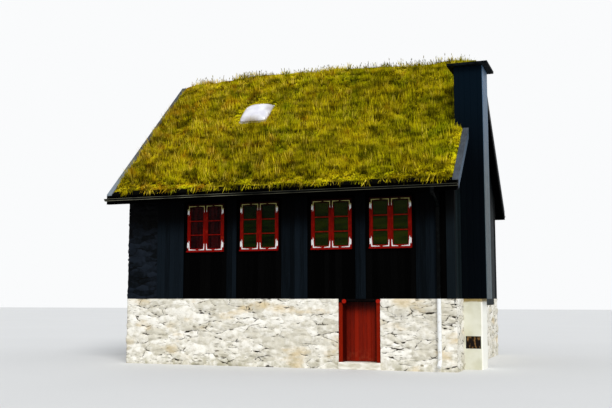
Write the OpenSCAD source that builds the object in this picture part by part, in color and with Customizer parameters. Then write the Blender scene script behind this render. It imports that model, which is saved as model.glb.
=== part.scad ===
// Turf-roofed house: a low whitewashed stone basement, one storey of tarred upright
// boards between a thick stone gable and a boarded gable, red casement windows, a red
// cellar door, and a steep grass roof held in by verge and eave boards.
// Millimetres. +X runs along the front to the right, +Y runs back, +Z is up.
// The origin lies on the ground, in the middle of the house.

/* [House body] */
// Length of the front wall, from corner to corner
house_l = 8850; // [8700:10:9400]
// Depth of the house, from front wall to rear wall
house_d = 6900; // [6500:10:7400]
// Height of the stone basement at the front
base_h = 1700; // [1600:10:1900]
// Thickness of the basement's stone walls
base_t = 500; // [420:10:600]
// Thickness of the stone gable on the left
stone_gable_t = 880; // [700:10:950]
// Thickness of the boarded timber walls
wall_t = 180; // [160:5:220]
// Depth of the window bays behind the board strips
bay_recess = 30; // [10:5:50]
// Distance that the right gable's boards stand back from the corner
gable_inset = 30; // [20:5:60]
// Distance that the gable's boards come down over the basement, behind the chimney
gable_skirt = 180; // [100:10:240]
// Width of the corner boards
corner_w = 210; // [160:10:280]
// Width of the recess between the last board strip and the corner board
corner_gap = 150; // [80:10:200]
// Thickness of the corner boards
corner_t = 25; // [15:5:40]
// Thickness of the upper floor
floor_t = 200; // [150:10:260]
// Thickness of the cellar's stone floor
cellar_floor_t = 100; // [60:10:140]

/* [Windows] */
// Width of a window
win_w = 1060; // [980:10:1100]
// Height of a window
win_h = 1260; // [1100:10:1300]
// Height of a window's underside above the basement
win_z = 1215; // [1150:5:1260]
// Width of the board strip beside the stone gable
strip_1_w = 790; // [650:5:900]
// Width of the board strip between the first and second windows
strip_2_w = 275; // [220:5:350]
// Width of the board strip between the two pairs of windows
strip_3_w = 700; // [560:5:800]
// Width of the board strip between the third and fourth windows
strip_4_w = 260; // [220:5:350]
// Width of the board strip at the right corner
strip_5_w = 945; // [850:5:1100]
// Width of the bay beside each window
bay_margin = 95; // [60:5:110]
// Face width of a window's outer frame
frame_w = 40; // [30:1:55]
// Depth of a window's outer frame
frame_d = 110; // [80:5:130]
// Distance that the frame stands in front of the bay
frame_out = 25; // [5:1:28]
// Height of the sill at its front
sill_h = 45; // [35:1:60]
// Distance that the sill stands in front of the frame
sill_out = 55; // [30:5:80]
// Width of a sash's outer stile and rails
stile_w = 50; // [40:1:65]
// Width of a sash's stile where the pair meets
meeting_w = 68; // [50:1:80]
// Thickness of a sash
sash_t = 45; // [36:1:55]
// Gap between the two sashes of a window
sash_gap = 2; // [1:0.5:4]
// Width of a glazing bar
bar_w = 26; // [18:1:35]
// Thickness of the glass
glass_t = 5; // [4:1:8]
// Number of panes in a sash
panes = 3; // [2:1:4]

/* [Cellar door] */
// Distance of the doorway from the right corner
door_in = 1840; // [1700:10:2100]
// Width of the doorway
door_w = 1060; // [960:10:1140]
// Height of the white step under the door
step_h = 170; // [150:5:200]
// Distance that the step stands in front of the wall
step_out = 40; // [10:5:80]
// Face width of a door post
post_w = 100; // [80:5:120]
// Depth of the door frame into the wall
door_frame_d = 320; // [260:10:360]
// Distance of the door frame behind the wall's face
door_frame_in = 20; // [10:5:40]
// Height of the frame's head
head_h = 60; // [50:5:90]
// Thickness of the door leaf
leaf_t = 40; // [32:1:48]
// Gap round the door leaf
leaf_gap = 8; // [7:0.5:12]
// Size of the door stop
stop_s = 22; // [18:1:28]
// Radius of the round ends at the top of the doorway
peg_r = 50; // [40:1:55]
// Radius of a hinge pin
pin_r = 7; // [6:0.5:9]
// Play between a hinge pin and its eye
pin_play = 0.3; // [0.2:0.1:0.6]
// Length of a hinge strap
strap_l = 620; // [450:10:700]
// Height of a hinge strap
strap_h = 44; // [36:2:60]
// Thickness of a hinge strap
strap_t = 6; // [5:1:8]

/* [Roof] */
// Slope of the roof in degrees
pitch = 43.1; // [40:0.1:46]
// Overhang of the eaves in front and behind
eave_over = 650; // [560:10:740]
// Height of the roof's edge at the eaves, above the basement
eave_h = 2760; // [2700:10:2900]
// Overhang of the roof past the left gable
verge_left = 310; // [200:10:340]
// Overhang of the roof past the right corner
verge_right = 220; // [150:10:300]
// Upright depth of the roof's edge
roof_depth = 270; // [250:5:310]
// Thickness of the boarding under the turf
deck_t = 60; // [40:5:80]
// Thickness of the verge boards and eave boards
edge_t = 40; // [30:2:55]
// Width of the cap boards on the verges
cap_w = 145; // [120:5:180]
// Thickness of the cap boards
cap_t = 28; // [20:2:36]
// Mitre gap between the boards at the ridge
ridge_gap = 2; // [1:1:6]
// Height of the turf above the cap boards
turf_rise = 60; // [40:5:90]
// Height of the humps in the turf
turf_wave = 28; // [10:2:36]
// Clearance under the boarding and under the cap boards
seat_gap = 0.3; // [0.2:0.1:0.6]

/* [Gutters] */
// Radius of the half-round gutter
gutter_r = 65; // [55:1:80]
// Thickness of the gutter's metal
gutter_t = 4; // [3:0.5:6]
// Distance of the gutter's rim below the roof's edge
gutter_drop = 130; // [110:5:150]
// Radius of the downpipe
pipe_r = 50; // [40:1:60]
// Distance of the downpipe's centre from the right corner
pipe_in = 390; // [360:5:520]
// Clearance between the downpipe and the wall
pipe_off = 30; // [20:5:50]
// Drop of the swan neck under the eaves
neck_drop = 240; // [200:10:320]

/* [Chimney] */
// Distance of the chimney's front behind the front wall's face
chim_y = 930; // [850:10:1000]
// Height of the cap slab's top above the basement
chim_h = 5860; // [5600:10:6100]
// Width of the boarded shaft
shaft_w = 690; // [620:10:740]
// Depth of the boarded shaft
shaft_d = 820; // [740:10:900]
// Distance that the shaft reaches in past the corner
shaft_in = 120; // [90:5:150]
// Thickness of the cap slab
slab_t = 70; // [50:5:100]
// Overhang of the cap slab
slab_over = 160; // [100:10:200]
// Width of the plastered base outside the wall
stack_w = 450; // [400:10:500]
// Depth of the plastered base
stack_d = 800; // [700:10:820]
// Width of the soot hatch
hatch_w = 370; // [300:10:380]
// Height of the soot hatch
hatch_h = 300; // [240:10:340]
// Height of the hatch's underside above the ground
hatch_z = 500; // [420:10:600]
// Depth of the hatch's recess
hatch_in = 60; // [40:5:90]

/* [Skylight] */
// Left edge of the skylight, from the left corner
sky_x = 2505; // [2200:5:2700]
// Distance of the skylight's middle behind the front wall's face
sky_y = 1935; // [1850:5:2150]
// Width of the skylight
sky_w = 860; // [800:10:960]
// Length of the skylight up the slope
sky_l = 860; // [780:10:940]
// Thickness of the kerb
kerb_t = 40; // [30:2:55]
// Height of the kerb above the cap boards' level
kerb_up = 60; // [50:5:100]
// Rise of the dome above its kerb
dome_h = 210; // [150:10:240]
// Thickness of the dome
dome_t = 6; // [5:1:9]

/* [Hidden] */

$fn = 32;
TARRED = "#23282b";
STONE_WHITE = "#e9e7df";
STONE_BLACK = "#2b2f31";
RED = "#a3271c";
DARK_RED = "#5d150f";
GRASS = "#9a8f2a";
WEATHERED = "#8f959c";

// Main planes of the house
left_x = -house_l / 2;
right_x = house_l / 2;
front_y = -house_d / 2;
gable_x = right_x - gable_inset;
stone_x = left_x + stone_gable_t;
eave_y = house_d / 2 + eave_over;
roof_left = left_x - verge_left;
roof_right = right_x + verge_right;

// Roof lines: the top of the cap boards, and upright drops below it
eave_z = base_h + eave_h;
ridge_z = eave_z + eave_y * tan(pitch);
function roof_z(y) = ridge_z - abs(y) * tan(pitch);
function upright(t) = t / cos(pitch);
cap_drop = upright(cap_t);
deck_top_drop = roof_depth - upright(deck_t);

// Window row: the strips share what the wall has over or under their own widths
strip_w = [strip_1_w, strip_2_w, strip_3_w, strip_4_w, strip_5_w];
win_n = len(strip_w) - 1;
bay_w = win_w + 2 * bay_margin;
function sum_to(list, n) = n < 1 ? 0 : list[n - 1] + sum_to(list, n - 1);
wall_slack = (house_l - stone_gable_t - win_n * bay_w - sum_to(strip_w, win_n + 1)) / (win_n + 1);
pier_from = [for (i = [0 : win_n])
  stone_gable_t + sum_to(strip_w, i) + i * (bay_w + wall_slack)];
pier_to = [for (i = [0 : win_n]) pier_from[i] + strip_w[i] + wall_slack];
win_x = [for (i = [0 : win_n - 1]) pier_to[i] + bay_margin];
win_bottom = base_h + win_z;
win_top = win_bottom + win_h;
bay_y = front_y + bay_recess;
frame_y = bay_y - frame_out;
sash_w = (win_w - 2 * frame_w - sash_gap) / 2;
sash_h = win_h - frame_w - sill_h;
sash_z = win_bottom + sill_h;
bar_t = sash_t - 3 * glass_t;
rebate = 8;

// Doorway and the hinge line of its leaf
door_left = right_x - door_in - door_w;
leaf_w = door_w - 2 * post_w - 2 * leaf_gap;
leaf_left = door_left + post_w + leaf_gap;
leaf_bottom = step_h + leaf_gap;
leaf_top = base_h - head_h - leaf_gap;
door_frame_y = front_y + door_frame_in;
leaf_y = door_frame_y + door_frame_d - leaf_t;
eye_r = 2 * pin_r;
eye_clear = 6;
hinge_x = leaf_left - leaf_gap / 2;
hinge_y = leaf_y + leaf_t + eye_r + eye_clear;
strap_inset = 240;
hinge_zs = [leaf_bottom + strap_inset, leaf_top - strap_inset];

// Chimney planes
shaft_left = right_x - shaft_in;
chim_front = front_y + chim_y;
shaft_top = base_h + chim_h - slab_t;
skirt_y = chim_front + shaft_d;

// Skylight's frame of reference on the front slope
sky_mid_x = left_x + sky_x + sky_w / 2;
sky_mid_y = front_y + sky_y;

// Gutter and downpipe lines
rim_z = eave_z - gutter_drop;
gutter_y = eave_y + gutter_r;
pipe_x = right_x - pipe_in;
pipe_y = house_d / 2 + pipe_off + pipe_r;

// Upright prism under the roof boarding, to trim the tops of walls
module under_roof() {
  top = function(y) roof_z(y) - roof_depth - seat_gap;
  rotate([90, 0, 90])
    translate([0, 0, roof_left])
      linear_extrude(roof_right - roof_left)
        polygon([[-eave_y, 0], [-eave_y, top(eave_y)], [0, top(0)],
          [eave_y, top(eave_y)], [eave_y, 0]]);
}

// A box from one corner to the opposite corner
module block(low, high) {
  translate(low) cube(high - low);
}

// A board or layer on one slope: side is -1 for the front slope and 1 for the rear
module slope_layer(side, x_from, x_to, y_from, y_to, drop_top, drop_low) {
  translate([x_from, 0, 0])
    rotate([90, 0, 90])
      linear_extrude(x_to - x_from)
        polygon([[side * y_from, roof_z(y_from) - drop_low],
          [side * y_to, roof_z(y_to) - drop_low],
          [side * y_to, roof_z(y_to) - drop_top],
          [side * y_from, roof_z(y_from) - drop_top]]);
}

// The space that the chimney shaft takes through the roof's right edge
module shaft_space() {
  block([shaft_left, chim_front, base_h], [shaft_left + shaft_w, chim_front + shaft_d, shaft_top]);
}

// A round rod between two points
module rod(from, to, r) {
  d = to - from;
  translate(from)
    rotate([0, acos(d[2] / norm(d)), atan2(d[1], d[0])])
      cylinder(r = r, h = norm(d));
}

// BASEMENT

module basement_left() {
  color(STONE_WHITE)
    block([left_x, front_y, 0], [stone_x, -front_y, base_h]);
}

module basement_front_left() {
  color(STONE_WHITE)
    block([stone_x, front_y, 0], [door_left, front_y + base_t, base_h]);
}

module basement_front_right() {
  color(STONE_WHITE)
    block([door_left + door_w, front_y, 0], [right_x, front_y + base_t, base_h]);
}

module basement_rear() {
  color(STONE_WHITE)
    block([stone_x, -front_y - base_t, 0], [right_x, -front_y, base_h]);
}

module basement_right() {
  color(STONE_WHITE)
    union() {
      block([right_x - base_t, front_y + base_t, 0],
        [right_x, -front_y - base_t, base_h - gable_skirt]);
      block([right_x - base_t, front_y + base_t, base_h - gable_skirt],
        [right_x, skirt_y, base_h]);
    }
}

module cellar_floor() {
  color("#8b877d")
    block([stone_x, front_y + base_t, 0], [right_x - base_t, -front_y - base_t, cellar_floor_t]);
}

// CELLAR DOOR

module door_step() {
  color(STONE_WHITE)
    block([door_left, front_y - step_out, 0],
      [door_left + door_w, front_y + base_t, step_h]);
}

module door_frame() {
  inner_left = door_left + post_w;
  inner_right = door_left + door_w - post_w;
  head_z = base_h - head_h;
  back_y = door_frame_y + door_frame_d;
  stop_y = leaf_y - eye_clear;
  color(RED) {
    difference() {
      block([door_left, door_frame_y, step_h], [door_left + door_w, back_y, base_h]);
      block([inner_left, door_frame_y - 1, step_h - 1], [inner_right, back_y + 1, head_z]);
    }
    // Stops that the closed leaf rests behind
    for (x = [inner_left, inner_right - stop_s])
      block([x, stop_y - stop_s, step_h], [x + stop_s, stop_y, head_z]);
    block([inner_left, stop_y - stop_s, head_z - stop_s], [inner_right, stop_y, head_z]);
    // Round ends under the wall's foot
    for (x = [inner_left + peg_r, inner_right + peg_r])
      translate([x, door_frame_y + peg_r, base_h - peg_r - 10])
        rotate([90, 0, 0]) cylinder(r = peg_r, h = 2 * peg_r);
    // Hooks for the hinge straps
    for (z = hinge_zs) {
      block([inner_left - 60, back_y, z - 16], [hinge_x, hinge_y + pin_r, z]);
      translate([hinge_x, hinge_y, z - 16]) cylinder(r = eye_r, h = 16);
      translate([hinge_x, hinge_y, z]) cylinder(r = pin_r, h = strap_h + 8);
    }
  }
}

module cellar_door() {
  color(DARK_RED)
    block([leaf_left, leaf_y, leaf_bottom], [leaf_left + leaf_w, leaf_y + leaf_t, leaf_top]);
}

module door_straps() {
  strap_y = leaf_y + leaf_t;
  color("#3b2a26")
    for (z = hinge_zs)
      difference() {
        union() {
          block([leaf_left, strap_y, z + pin_play], [leaf_left + strap_l, strap_y + strap_t,
            z + strap_h]);
          block([leaf_left, strap_y, z + pin_play], [leaf_left + 3 * pin_r, hinge_y, z + strap_h]);
          translate([hinge_x, hinge_y, z + pin_play])
            cylinder(r = eye_r, h = strap_h - pin_play);
        }
        translate([hinge_x, hinge_y, z - 1])
          cylinder(r = pin_r + pin_play, h = strap_h + 2);
      }
}

// UPPER WALLS

module stone_gable() {
  color(STONE_BLACK)
    intersection() {
      block([left_x, front_y, base_h], [stone_x, -front_y, ridge_z]);
      under_roof();
    }
}

// Board strips of one long wall, with rebated shoulders up to the windows and a recess that
// sets off the corner board
module piers(side) {
  gap_to = right_x - corner_w;
  color(TARRED)
    mirror([0, side > 0 ? 1 : 0, 0])
      difference() {
        intersection() {
          translate([0, 0, base_h])
            for (i = [0 : win_n]) {
              shoulder_left = i > 0 ? bay_margin : 0;
              shoulder_right = i < win_n ? bay_margin : 0;
              cut = i < win_n ? 0 : gable_inset + wall_t;
              linear_extrude(ridge_z - base_h) {
                translate([left_x + pier_from[i], front_y])
                  square([pier_to[i] - pier_from[i] - cut, wall_t]);
                translate([left_x + pier_from[i] - shoulder_left, bay_y])
                  square([pier_to[i] + shoulder_right - pier_from[i] + shoulder_left - cut,
                    wall_t - bay_recess]);
              }
            }
          under_roof();
        }
        block([gap_to - corner_gap, front_y - 1, base_h - 1], [gap_to, bay_y, ridge_z]);
      }
}

// Recessed boards of one long wall, under or over its windows
module bay_boards(side, low, high) {
  color(STONE_BLACK)
    mirror([0, side > 0 ? 1 : 0, 0])
      intersection() {
        for (x = win_x)
          block([left_x + x, bay_y, low], [left_x + x + win_w, front_y + wall_t, high]);
        under_roof();
      }
}

module right_gable() {
  color(TARRED)
    difference() {
      intersection() {
        union() {
          block([gable_x - wall_t, front_y, base_h], [gable_x, -front_y, ridge_z]);
          block([gable_x - wall_t, skirt_y, base_h - gable_skirt],
            [gable_x, -front_y - base_t, base_h]);
        }
        under_roof();
      }
      shaft_space();
    }
}

module corner_boards() {
  color(TARRED)
    for (side = [0, 1])
      mirror([0, side, 0])
        intersection() {
          translate([0, 0, base_h])
            linear_extrude(ridge_z - base_h) {
              translate([right_x - corner_w, front_y - corner_t])
                square([corner_w, corner_t]);
              translate([gable_x, front_y - corner_t])
                square([gable_inset, corner_w / 2 + corner_t]);
            }
          under_roof();
        }
}

module upper_floor() {
  color("#6d5a43")
    block([stone_x, front_y + wall_t, base_h],
      [gable_x - wall_t, -front_y - wall_t, base_h + floor_t]);
}

// WINDOWS

// Outer frame of one window, with a sill that throws water clear
module window_frame(x) {
  translate([x, 0, 0]) {
    difference() {
      block([0, frame_y, win_bottom], [win_w, frame_y + frame_d, win_top]);
      block([frame_w, frame_y - 1, sash_z], [win_w - frame_w, frame_y + frame_d + 1,
        win_top - frame_w]);
    }
    rotate([90, 0, 90])
      linear_extrude(win_w)
        polygon([[frame_y, win_bottom], [frame_y, sash_z],
          [frame_y - sill_out, sash_z - 12], [frame_y - sill_out, win_bottom]]);
  }
}

// One sash lying in its own plane, with glazing bars and a rebate behind them
module sash(x, meeting_left) {
  in_left = meeting_left ? meeting_w : stile_w;
  in_w = sash_w - meeting_w - stile_w;
  in_h = sash_h - 2 * stile_w;
  pane_h = (in_h - (panes - 1) * bar_w) / panes;
  translate([x, frame_y + sash_t, sash_z])
    rotate([90, 0, 0])
      difference() {
        cube([sash_w, sash_h, sash_t]);
        for (i = [0 : panes - 1])
          translate([in_left, stile_w + i * (pane_h + bar_w), -1])
            cube([in_w, pane_h, sash_t + 2]);
        translate([in_left - rebate, stile_w - rebate, -1])
          cube([in_w + 2 * rebate, in_h + 2 * rebate, sash_t - bar_t + 1]);
      }
}

module window_frames(side) {
  color(RED)
    mirror([0, side > 0 ? 1 : 0, 0])
      for (x = win_x) window_frame(left_x + x);
}

module sashes(side) {
  color(RED)
    mirror([0, side > 0 ? 1 : 0, 0])
      for (x = win_x) {
        sash(left_x + x + frame_w, false);
        sash(left_x + x + frame_w + sash_w + sash_gap, true);
      }
}

module window_glass(side) {
  color([0.35, 0.42, 0.36, 0.5])
    mirror([0, side > 0 ? 1 : 0, 0])
      for (x = win_x)
        for (right = [0, 1]) {
          low_x = left_x + x + frame_w + right * (sash_w + sash_gap)
            + (right ? meeting_w : stile_w) - rebate;
          block([low_x, frame_y + bar_t, sash_z + stile_w - rebate],
            [low_x + sash_w - meeting_w - stile_w + 2 * rebate, frame_y + bar_t + glass_t,
              sash_z + sash_h - stile_w + rebate]);
        }
}

// ROOF

// The skylight's opening, square to the front slope
module sky_space(grow) {
  translate([sky_mid_x, sky_mid_y, roof_z(sky_mid_y)])
    rotate([pitch, 0, 0])
      translate([-sky_w / 2 - grow, -sky_l / 2 - grow, -roof_depth * 2])
        cube([sky_w + 2 * grow, sky_l + 2 * grow, roof_depth * 4]);
}

module roof_deck(side) {
  color("#2e2a26")
    difference() {
      slope_layer(side, roof_left + edge_t, roof_right - edge_t, 0, eave_y - edge_t,
        deck_top_drop, roof_depth);
      if (side < 0) sky_space(0);
      shaft_space();
    }
}

// The turf: a blanket on the boarding that bulges over its edges and rolls in low humps
turf_cols = 24;
turf_rows = 12;
turf_shoulder = 25;
turf_low_x = roof_left + edge_t;
turf_high_x = roof_right - edge_t;
turf_side_x = [turf_low_x, roof_left + cap_w, roof_left + cap_w + turf_shoulder];
turf_mid_x = roof_right - cap_w - turf_shoulder - turf_side_x[2];
turf_span_y = eave_y - edge_t;
function turf_x(i) =
  i < 3 ? turf_side_x[i]
  : i > turf_cols - 3 ? turf_low_x + turf_high_x - turf_side_x[turf_cols - i]
  : turf_side_x[2] + turf_mid_x * (i - 2) / (turf_cols - 4);
function turf_y(j) = turf_span_y * j / turf_rows;
// Share of the full height at a column and a row of the grid: nothing under the cap boards
function turf_share(i, j) =
  (i < 2 || i > turf_cols - 2 ? 0 : i == 2 || i == turf_cols - 2 ? 0.6 : 1)
  * (j == turf_rows ? 0.35 : 1);
function turf_hump(x, y, side) =
  sin(x / 11) * cos(y / 8) + 0.6 * sin(x / 4.3 + side * 40) * cos(y / 5.1);
function turf_top(i, j, side) = roof_z(turf_y(j)) - cap_drop - seat_gap + turf_share(i, j)
  * (cap_drop + turf_rise + turf_wave * turf_hump(turf_x(i), turf_y(j), side));

module turf(side) {
  top = [for (j = [0 : turf_rows]) for (i = [0 : turf_cols])
    [turf_x(i), side * turf_y(j), turf_top(i, j, j > 0 ? side : 0)]];
  low = [for (j = [0, turf_rows]) for (i = [0, turf_cols])
    [turf_x(i), side * turf_y(j), roof_z(turf_y(j)) - deck_top_drop]];
  n = len(top);
  function at(i, j) = j * (turf_cols + 1) + i;
  skin = [for (j = [0 : turf_rows - 1]) for (i = [0 : turf_cols - 1])
    each [[at(i, j), at(i, j + 1), at(i + 1, j + 1)], [at(i, j), at(i + 1, j + 1), at(i + 1, j)]]];
  ridge_side = [[n + 1, n, each [for (i = [0 : turf_cols]) at(i, 0)]]];
  eave_side = [[n + 2, n + 3, each [for (i = [turf_cols : -1 : 0]) at(i, turf_rows)]]];
  left_side = [[n, n + 2, each [for (j = [turf_rows : -1 : 0]) at(0, j)]]];
  right_side = [[n + 3, n + 1, each [for (j = [0 : turf_rows]) at(turf_cols, j)]]];
  under = [[n, n + 1, n + 3, n + 2]];
  faces = [each skin, each ridge_side, each eave_side, each left_side, each right_side, each under];
  turned = [for (f = faces) [f[0], for (k = [len(f) - 1 : -1 : 1]) f[k]]];
  color(GRASS)
    difference() {
      polyhedron([each top, each low], side < 0 ? turned : faces);
      if (side < 0) sky_space(0);
      shaft_space();
    }
}

module eave_board(side) {
  color(TARRED)
    mirror([0, side > 0 ? 1 : 0, 0])
      block([roof_left + edge_t, -eave_y, eave_z - roof_depth],
        [roof_right - edge_t, -eave_y + edge_t, eave_z - cap_drop]);
}

// The pair of boards that closes one verge, mitred at the ridge
module verge_boards(x) {
  color(TARRED)
    difference() {
      for (side = [-1, 1])
        slope_layer(side, x, x + edge_t, ridge_gap / 2, eave_y, cap_drop, roof_depth);
      shaft_space();
    }
}

module verge_caps(x) {
  color(WEATHERED)
    difference() {
      for (side = [-1, 1])
        slope_layer(side, x, x + cap_w, ridge_gap / 2, eave_y, 0, cap_drop);
      shaft_space();
    }
}

// GUTTERS AND DOWNPIPES

module gutter(side) {
  long = roof_right - roof_left;
  color(TARRED)
    mirror([0, side > 0 ? 1 : 0, 0])
      translate([roof_left, -gutter_y, rim_z])
        rotate([90, 0, 90])
          difference() {
            union() {
              cylinder(r = gutter_r, h = long);
              translate([gutter_r - gutter_t, -gutter_r / 2, 0])
                cube([gutter_t, gutter_r / 2 + 15, long]);
            }
            translate([0, 0, gutter_t])
              cylinder(r = gutter_r - gutter_t, h = long - 2 * gutter_t);
            translate([-2 * gutter_r, 0, -1])
              cube([3 * gutter_r - gutter_t, 2 * gutter_r, long + 2]);
            translate([0, 0, pipe_x - roof_left])
              rotate([90, 0, 0]) cylinder(r = pipe_r - elbow_t, h = 2 * gutter_r);
          }
}

// The pipe's line from the gutter to the ground, as points across the wall's face
elbow_t = 4;
outlet_z = rim_z - gutter_r / 2;
neck_top = eave_z - roof_depth - pipe_r - elbow_t;
neck_low = neck_top - neck_drop;
shoe_z = 260;

// Lengths of pipe with a fuller elbow at each bend, fitted under the gutter's round
module pipe_run(points) {
  difference() {
    union() {
      for (k = [0 : len(points) - 2]) rod(points[k], points[k + 1], pipe_r);
      for (k = [1 : 1 : len(points) - 2]) translate(points[k]) sphere(r = pipe_r + elbow_t);
    }
    translate([pipe_x - 2 * pipe_r, -gutter_y, rim_z])
      rotate([0, 90, 0]) cylinder(r = gutter_r, h = 4 * pipe_r);
  }
}

// A clip that carries the pipe off the wall
module pipe_clip(z) {
  block([pipe_x - 20, -pipe_y, z - 20], [pipe_x + 20, front_y, z + 20]);
  translate([pipe_x, -pipe_y, z - 15]) cylinder(r = pipe_r + 6, h = 30);
}

module downpipe_upper() {
  color(TARRED) {
    pipe_run([[pipe_x, -gutter_y, outlet_z], [pipe_x, -gutter_y, neck_top],
      [pipe_x, -pipe_y, neck_low], [pipe_x, -pipe_y, base_h]]);
    for (z = [base_h + 300, neck_low - 200]) pipe_clip(z);
  }
}

module downpipe_lower() {
  color(STONE_WHITE) {
    pipe_run([[pipe_x, -pipe_y, base_h], [pipe_x, -pipe_y, shoe_z],
      [pipe_x, -pipe_y - 120, shoe_z - 140]]);
    pipe_clip(base_h - 350);
  }
}

module downpipe_rear() {
  color(TARRED)
    mirror([0, 1, 0]) {
      pipe_run([[pipe_x, -gutter_y, outlet_z], [pipe_x, -gutter_y, neck_top],
        [pipe_x, -pipe_y, neck_low], [pipe_x, -pipe_y, shoe_z],
        [pipe_x, -pipe_y - 120, shoe_z - 140]]);
      for (z = [base_h - 350, base_h + 300, neck_low - 200]) pipe_clip(z);
    }
}

// CHIMNEY

module chimney_base() {
  hatch_x = right_x + (stack_w - hatch_w) / 2;
  color(STONE_WHITE)
    difference() {
      block([right_x, chim_front, 0], [right_x + stack_w, chim_front + stack_d, base_h]);
      block([hatch_x, chim_front - 1, hatch_z],
        [hatch_x + hatch_w, chim_front + hatch_in, hatch_z + hatch_h]);
    }
}

module chimney_shaft() {
  color(TARRED) shaft_space();
}

module chimney_slab() {
  color("#4a4c50")
    block([shaft_left - slab_over, chim_front - slab_over, shaft_top],
      [shaft_left + shaft_w + slab_over, chim_front + shaft_d + slab_over, shaft_top + slab_t]);
}

module soot_hatch() {
  hatch_x = right_x + (stack_w - hatch_w) / 2;
  color("#3a2418")
    block([hatch_x, chim_front + hatch_in / 2, hatch_z],
      [hatch_x + hatch_w, chim_front + hatch_in, hatch_z + hatch_h]);
}

// SKYLIGHT

module skylight_kerb() {
  color("#c9cbc8")
    translate([sky_mid_x, sky_mid_y, roof_z(sky_mid_y)])
      rotate([pitch, 0, 0])
        difference() {
          translate([-sky_w / 2, -sky_l / 2, -roof_depth * cos(pitch)])
            cube([sky_w, sky_l, kerb_up + roof_depth * cos(pitch)]);
          translate([-sky_w / 2 + kerb_t, -sky_l / 2 + kerb_t, -roof_depth])
            cube([sky_w - 2 * kerb_t, sky_l - 2 * kerb_t, kerb_up + 2 * roof_depth]);
        }
}

module skylight_dome() {
  color([0.9, 0.93, 0.95, 0.8])
    translate([sky_mid_x, sky_mid_y, roof_z(sky_mid_y)])
      rotate([pitch, 0, 0])
        translate([0, 0, kerb_up])
          difference() {
            dome_solid(sky_w, sky_l, dome_h);
            dome_solid(sky_w - 2 * dome_t, sky_l - 2 * dome_t, dome_h - dome_t);
          }
}

// A blown dome: rings that start as a rectangle at the rim and end round at the crown
dome_rings = 7;
dome_sides = 32;
rim_round = 0.2;
function dome_point(w, l, h, ring, k) =
  let (a = 360 * k / dome_sides, t = 90 * ring / dome_rings, e = rim_round + (1 - rim_round) * sin(t))
  [w / 2 * sign(cos(a)) * pow(abs(cos(a)), e) * cos(t),
   l / 2 * sign(sin(a)) * pow(abs(sin(a)), e) * cos(t), h * sin(t)];

module dome_solid(w, l, h) {
  points = [for (r = [0 : dome_rings - 1]) for (k = [0 : dome_sides - 1])
    dome_point(w, l, h, r, k), [0, 0, h]];
  function at(r, k) = r * dome_sides + k % dome_sides;
  crown = dome_rings * dome_sides;
  faces = [[for (k = [0 : dome_sides - 1]) k],
    for (r = [0 : dome_rings - 2]) for (k = [0 : dome_sides - 1])
      each [[at(r, k), at(r + 1, k), at(r + 1, k + 1)], [at(r, k), at(r + 1, k + 1), at(r, k + 1)]],
    for (k = [0 : dome_sides - 1]) [at(dome_rings - 1, k), crown, at(dome_rings - 1, k + 1)]];
  polyhedron(points, faces);
}

basement_left();
basement_front_left();
basement_front_right();
basement_rear();
basement_right();
cellar_floor();
door_step();
door_frame();
cellar_door();
door_straps();
stone_gable();
piers(-1);  // front_piers
bay_boards(-1, base_h, win_bottom);  // front_aprons
bay_boards(-1, win_top, ridge_z);  // front_headers
piers(1);  // rear_piers
bay_boards(1, base_h, win_bottom);  // rear_aprons
bay_boards(1, win_top, ridge_z);  // rear_headers
right_gable();
corner_boards();
upper_floor();
window_frames(-1);  // front_window_frames
sashes(-1);  // front_sashes
window_glass(-1);  // front_glass
window_frames(1);  // rear_window_frames
sashes(1);  // rear_sashes
window_glass(1);  // rear_glass
roof_deck(-1);  // roof_deck_front
roof_deck(1);  // roof_deck_rear
turf(-1);  // turf_front
turf(1);  // turf_rear
eave_board(-1);  // eave_board_front
eave_board(1);  // eave_board_rear
verge_boards(roof_left);  // verge_left_boards
verge_boards(roof_right - edge_t);  // verge_right_boards
verge_caps(roof_left);  // verge_left_caps
verge_caps(roof_right - cap_w);  // verge_right_caps
gutter(-1);  // gutter_front
gutter(1);  // gutter_rear
downpipe_upper();
downpipe_lower();
downpipe_rear();
chimney_base();
chimney_shaft();
chimney_slab();
soot_hatch();
skylight_kerb();
skylight_dome();
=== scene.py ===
"""Turf-roofed house: rubble, tarred boards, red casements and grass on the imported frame."""
import math
import random

import bmesh
import bpy
from mathutils import Matrix, Vector


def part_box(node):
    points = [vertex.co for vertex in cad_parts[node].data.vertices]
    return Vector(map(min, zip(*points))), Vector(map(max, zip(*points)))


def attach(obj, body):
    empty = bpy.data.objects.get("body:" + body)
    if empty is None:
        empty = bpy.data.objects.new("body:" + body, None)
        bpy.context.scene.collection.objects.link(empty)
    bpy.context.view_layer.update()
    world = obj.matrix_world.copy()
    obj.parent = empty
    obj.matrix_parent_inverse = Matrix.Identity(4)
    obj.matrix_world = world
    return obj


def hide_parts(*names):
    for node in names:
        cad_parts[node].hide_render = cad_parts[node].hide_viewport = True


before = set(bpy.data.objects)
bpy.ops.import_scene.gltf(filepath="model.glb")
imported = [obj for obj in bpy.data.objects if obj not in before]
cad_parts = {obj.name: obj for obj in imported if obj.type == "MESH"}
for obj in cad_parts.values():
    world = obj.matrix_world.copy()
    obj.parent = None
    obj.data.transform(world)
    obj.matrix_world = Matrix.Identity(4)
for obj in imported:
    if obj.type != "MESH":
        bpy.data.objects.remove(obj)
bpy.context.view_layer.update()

# CAMERA, LIGHT AND FLOOR
# The camera stands at eye height in front of the right corner, where the photograph was taken.
# One broad lamp and an even sky light the house on a plain pale floor.

CAMERA_PLACE = (8.135, -23.83, 1.70)
CAMERA_TURN = (96.24, 0.0, 20.09)
SKY_LIGHT = 0.62
SUN_LIGHT = 2.1
SUN_TURN = (50, 0, 34)


def linked(name, data):
    """A new object in the scene for a camera, a lamp or a mesh."""
    piece = bpy.data.objects.new(name, data)
    bpy.context.scene.collection.objects.link(piece)
    return piece


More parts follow.
